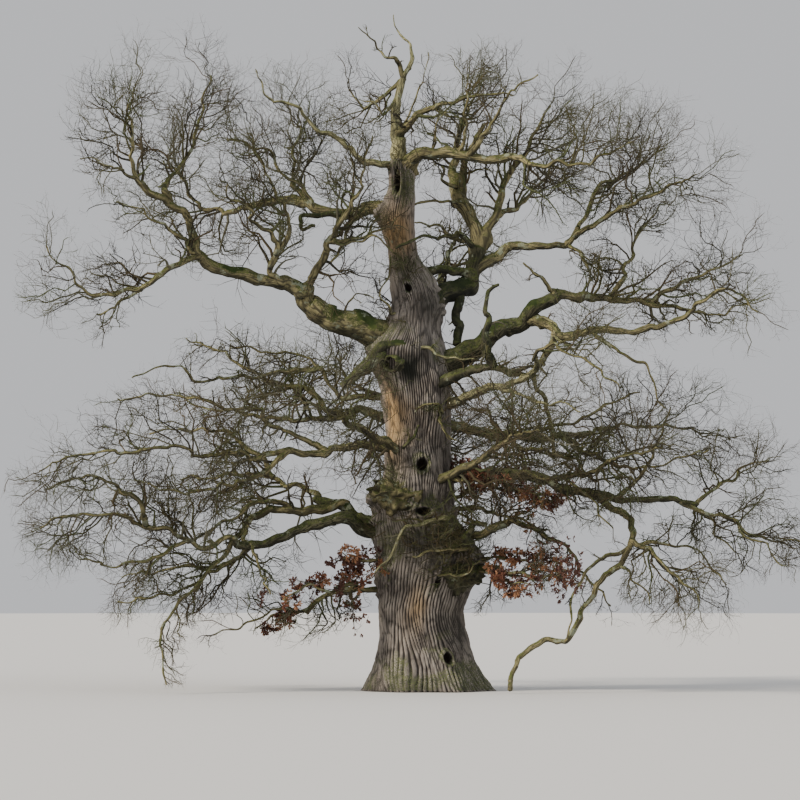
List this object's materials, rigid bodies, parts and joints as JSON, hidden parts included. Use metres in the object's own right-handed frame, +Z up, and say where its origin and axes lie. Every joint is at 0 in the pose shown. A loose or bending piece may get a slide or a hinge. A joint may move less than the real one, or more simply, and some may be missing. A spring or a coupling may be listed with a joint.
{
  "type": "tree",
  "caption": "Very old oak in winter with a stout burred trunk, a flared foot, twisting mossy boughs and bare twigs that keep some withered leaves low down.",
  "frame": {"origin": "middle of the trunk's flat cut at ground level, the mount named ground", "axes": "+Z up the trunk, +X to the right and +Y away from someone who faces the side that the picture shows"},
  "size_m": [21.5217, 14.9152, 18.8539],
  "materials": {
    "trunk_bark": "deeply ridged grey-brown bark with moss",
    "bough_bark": "rough bark with green moss and grey lichen on its upper side",
    "bare_twigs": "matt olive-brown twigs",
    "leafy_twigs": "matt twigs with dry brown leaves"
  },
  "bodies": {
    "root": {"back_crown": "bare_twigs", "back_high_crown": "bare_twigs", "dead_left_limb": "bough_bark", "front_left_crown": "bare_twigs", "front_right_crown": "bare_twigs", "ground_foot": "bough_bark", "ground_limb": "bough_bark", "left_arch_crown": "bare_twigs", "left_back_crown": "bare_twigs", "left_drooping_crown": "bare_twigs", "left_great_arm": "bough_bark", "left_great_bough": "bough_bark", "left_hanging_limb": "bare_twigs", "left_high_crown": "bare_twigs", "left_high_limb": "bough_bark", "left_inner_crown": "bare_twigs", "left_leafy_crown": "leafy_twigs", "left_low_bough": "bough_bark", "left_low_crown": "bare_twigs", "left_middle_bough": "bough_bark", "left_middle_crown": "bare_twigs", "left_outer_crown": "bare_twigs", "left_outer_riser": "bough_bark", "left_outer_side": "bare_twigs", "left_stub_limb": "bough_bark", "left_sweeping_bough": "bough_bark", "left_sweeping_crown": "bare_twigs", "left_thin_crown": "bare_twigs", "left_upright_crown": "bare_twigs", "left_weeping_crown": "bare_twigs", "right_arching_limb": "bare_twigs", "right_dense_crown": "bare_twigs", "right_fork_bough": "bough_bark", "right_fork_crown": "bare_twigs", "right_fork_outer": "bare_twigs", "right_fork_stem": "bough_bark", "right_front_crown": "bare_twigs", "right_great_bough": "bough_bark", "right_hanging_crown": "bare_twigs", "right_high_crown": "bare_twigs", "right_high_limb": "bough_bark", "right_leafy_back": "leafy_twigs", "right_leafy_crown": "leafy_twigs", "right_long_arm": "bough_bark", "right_long_crown": "bare_twigs", "right_low_bough": "bough_bark", "right_low_crown": "bare_twigs", "right_lower_arm": "bough_bark", "right_lower_crown": "bare_twigs", "right_mid_crown": "bare_twigs", "right_outer_crown": "bare_twigs", "right_pale_limb": "bough_bark", "right_sweeping_bough": "bough_bark", "right_tip_crown": "bare_twigs", "right_tip_weeping": "bare_twigs", "right_top_crown": "bare_twigs", "top_broom": "bare_twigs", "top_fork": "bare_twigs", "top_stem": "bough_bark", "trunk": "trunk_bark"}
  },
  "joints": []
}
